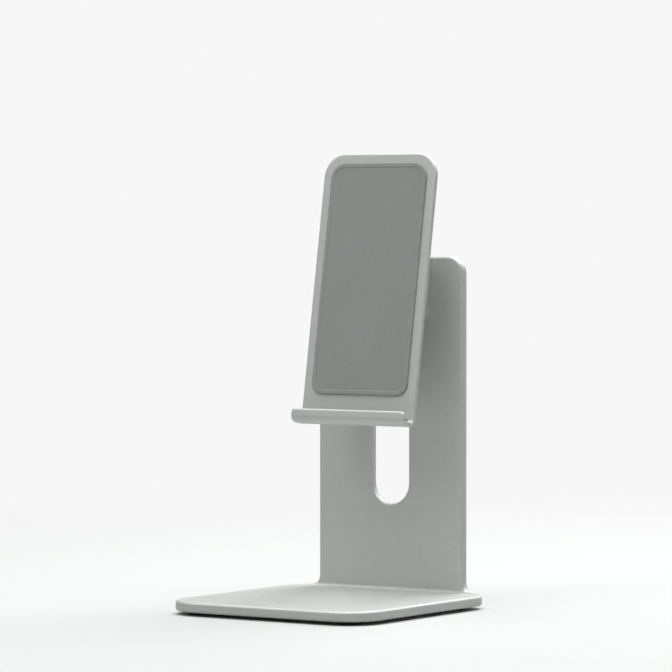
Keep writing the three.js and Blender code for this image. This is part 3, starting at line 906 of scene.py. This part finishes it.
def spring_washers():
    for part, rise in (("spring_washer_inner", 0.35), ("spring_washer_outer", -0.35)):
        low, high = box_in(AT_AXIS, part)
        start = low.x if rise > 0 else low.x - rise
        line = Outline(2.75, start).to(4.6, start + rise).by(0.1, 0.1).by(0, 0.3).by(-0.1, 0.1)
        line.to(2.75, start + 0.5).by(-0.1, -0.1).by(0, -0.3).to(2.75, start)
        piece(line.turned(), part + "_cone", [part], on_axis(1))


def hinge_nut():
    low, high = box_in(AT_AXIS, "hinge_nut")
    bm = bmesh.new()
    bmesh.ops.create_circle(bm, cap_ends=True, segments=6, radius=4.6)
    thicken(bm, low.x, high.x)
    upright = lambda m: low.x + 0.1 < m.z < high.x - 0.1
    round_off(bm, sharp_edges(bm, upright), 0.25, 3)
    steps = [(2.9, high.x), (2.6, high.x - 0.3), (2.6, low.x + 0.3), (2.9, low.x)]
    bored(bm, 0, 0, steps)
    outer = lambda m: math.hypot(m.x, m.y) > 3.5
    round_off(bm, sharp_edges(bm, outer, 60), 0.25, 2)
    piece(bm, "hinge_nut_steel", ["hinge_nut"], on_axis(1) @ Matrix.Rotation(-QUARTER, 4, "X"))


def hinge_caps():
    for side, part in ((-1, "hinge_cap_left"), (1, "hinge_cap_right")):
        rim, radius, top = 27.5, 5.1, 28.9
        line = Outline(0, rim).to(radius - 0.15, rim).by(0.15, 0.15).to(radius, top - 0.75)
        line.turn(radius - 0.45, top - 0.75, QUARTER, 5)
        line.to(3.9, top - 0.22).by(-0.12, -0.14).by(-0.16, 0).by(-0.12, 0.18)
        line.to(2.4, top - 0.08).to(1, top).to(0, top)
        piece(line.turned(), part + "_dome", [part], on_axis(side))


foot_and_column()
feet()
hinge_bracket()
hinge_knuckle()
countersunk_screws()
hinge_shaft()
friction_washers()
spring_washers()
hinge_nut()
hinge_caps()
tablet_panel()
panel_pad()
ledge_pad()

# ---- camera ----

LENS, SENSOR = 220.4, 36
# How far the eye is to the right of the stand, ahead of the column and above the base's top.
EYE_RIGHT, EYE_AHEAD, EYE_ABOVE = 1316.5, 2011.7, 215
EYE_TURN, EYE_PITCH = math.radians(33.95), math.radians(1.59)


def camera():
    cam = bpy.data.cameras.new("camera")
    cam.lens, cam.sensor_width = LENS, SENSOR
    cam.clip_end = 50
    eye = bpy.data.objects.new("camera", cam)
    bpy.context.scene.collection.objects.link(eye)
    eye.location = Vector((EYE_RIGHT, COLUMN_FACE - EYE_AHEAD, BASE_TOP + EYE_ABOVE)) * MM
    eye.rotation_euler = (QUARTER - EYE_PITCH, 0, EYE_TURN)
    bpy.context.scene.camera = eye


camera()

# ---- studio, in metres and watts ----

BACKDROP = (0.93, 0.932, 0.93, 1)
ROOM_GREY = (0.175, 0.178, 0.175, 1)  # what lights the stand from all round
FLOOR_RADIUS, FADE_FROM, FADE_TO = 14, 0.25, 1.1
COOL_WHITE = (0.97, 1, 0.985)
LIT_MIDDLE = Vector((0, 0, 0.12))


def studio_floor():
    """A pale floor that runs out into the backdrop's colour, so that no horizon shows."""
    bm = bmesh.new()
    bmesh.ops.create_circle(bm, cap_ends=True, segments=96, radius=FLOOR_RADIUS)
    mesh = bpy.data.meshes.new("floor")
    bm.to_mesh(mesh)
    bm.free()
    made = bpy.data.objects.new("floor", mesh)
    bpy.context.scene.collection.objects.link(made)
    material = bpy.data.materials.new("pale_floor")
    material.use_nodes = True
    tree = material.node_tree
    shader = tree.nodes["Principled BSDF"]
    shader.inputs["Roughness"].default_value = 0.7
    shader.inputs["Specular IOR Level"].default_value = 0.2
    where = on_object(tree)
    fibres = node(tree, "TexNoise", {"Vector": where, "Scale": 400, "Detail": 3}).outputs[0]
    paper = mixed(tree, fibres, (0.72, 0.715, 0.715, 1), (0.76, 0.755, 0.755, 1))
    tree.links.new(paper, shader.inputs["Base Color"])
    bump = node(tree, "Bump", {"Height": fibres, "Distance": 0.0001, "Strength": 0.2})
    tree.links.new(bump.outputs[0], shader.inputs["Normal"])
    away = node(tree, "VectorMath", {0: where}, operation="LENGTH").outputs["Value"]
    glow = node(tree, "Emission", {"Color": BACKDROP})
    reach = {0: away, 1: FADE_FROM, 2: FADE_TO}
    fade = node(tree, "MapRange", reach, interpolation_type="SMOOTHSTEP").outputs[0]
    both = node(tree, "MixShader", {0: fade, 1: shader.outputs[0], 2: glow.outputs[0]})
    dim = node(tree, "BsdfDiffuse", {"Color": (0.45, 0.455, 0.45, 1)})
    seen = node(tree, "LightPath").outputs["Is Camera Ray"]
    both = node(tree, "MixShader", {0: seen, 1: dim.outputs[0], 2: both.outputs[0]})
    tree.links.new(both.outputs[0], tree.nodes["Material Output"].inputs["Surface"])
    mesh.materials.append(material)


def backdrop():
    """The camera sees the pale backdrop; the stand gets a softer grey all round."""
    world = bpy.data.worlds.new("studio")
    world.use_nodes = True
    tree = world.node_tree
    soft = tree.nodes["Background"]
    soft.inputs["Color"].default_value = ROOM_GREY
    pale = node(tree, "Background", {"Color": BACKDROP})
    seen = node(tree, "LightPath").outputs["Is Camera Ray"]
    both = node(tree, "MixShader", {0: seen, 1: soft.outputs[0], 2: pale.outputs[0]})
    tree.links.new(both.outputs[0], tree.nodes["World Output"].inputs["Surface"])
    bpy.context.scene.world = world


def soft_light(name, where, size, power, colour=(1, 1, 1)):
    lamp = bpy.data.lights.new(name, "AREA")
    lamp.shape, lamp.size, lamp.energy, lamp.color = "DISK", size, power, colour
    made = bpy.data.objects.new(name, lamp)
    bpy.context.scene.collection.objects.link(made)
    made.location = where
    made.rotation_euler = (LIT_MIDDLE - Vector(where)).to_track_quat("-Z", "Y").to_euler()


studio_floor()
backdrop()
soft_light("overhead_light", (0.0, 0.0, 1.9), 2.8, 48, COOL_WHITE)
soft_light("back_light", (0.2, 1.5, 1.3), 1.4, 17, COOL_WHITE)
soft_light("front_light", (-0.6, -1.6, 1.6), 1.1, 6)
bpy.context.scene.view_settings.view_transform = "Standard"
